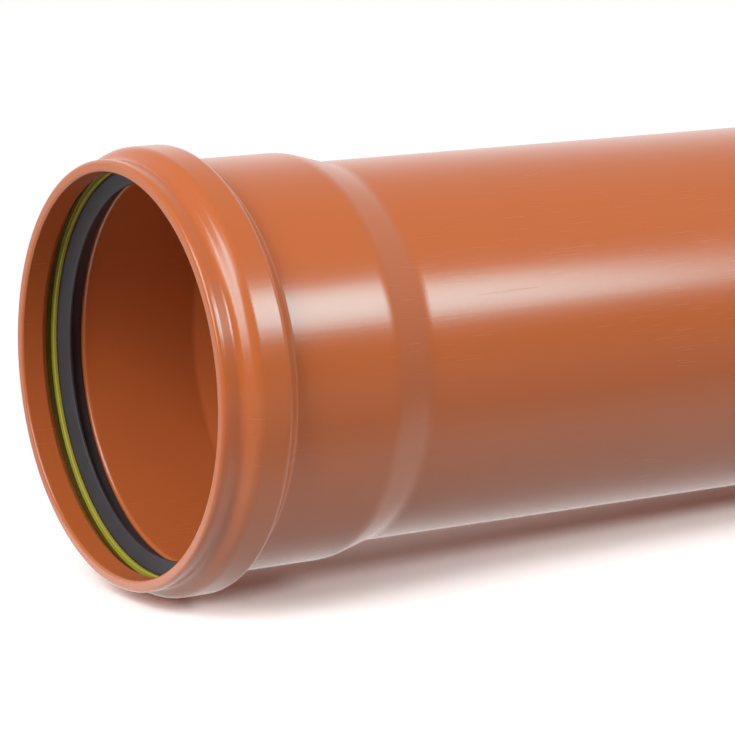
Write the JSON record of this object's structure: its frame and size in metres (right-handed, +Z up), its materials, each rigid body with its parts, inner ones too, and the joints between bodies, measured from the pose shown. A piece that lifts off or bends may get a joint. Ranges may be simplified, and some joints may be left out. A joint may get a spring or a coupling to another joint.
{
  "type": "plastic sewer pipe",
  "caption": "Short length of hard plastic sewer pipe with a beaded push-fit socket, rubber lip seal and retaining ring at one end and a chamfered spigot at the other.",
  "frame": {"origin": "on the pipe's axis at the socket's seat, where the next pipe's spigot end comes to rest", "axes": "+X along the pipe from the socket to the spigot end, +Z up as the pipe lies"},
  "size_m": [0.582, 0.1845, 0.1846],
  "materials": {
    "pipe_plastic": "orange-brown extruded hard PVC, semi-gloss",
    "seal_rubber": "black moulded rubber, satin",
    "ring_plastic": "yellow-green moulded plastic"
  },
  "bodies": {
    "root": {"pipe": "pipe_plastic", "seal_ring": "seal_rubber", "retaining_ring": "ring_plastic"}
  },
  "joints": []
}
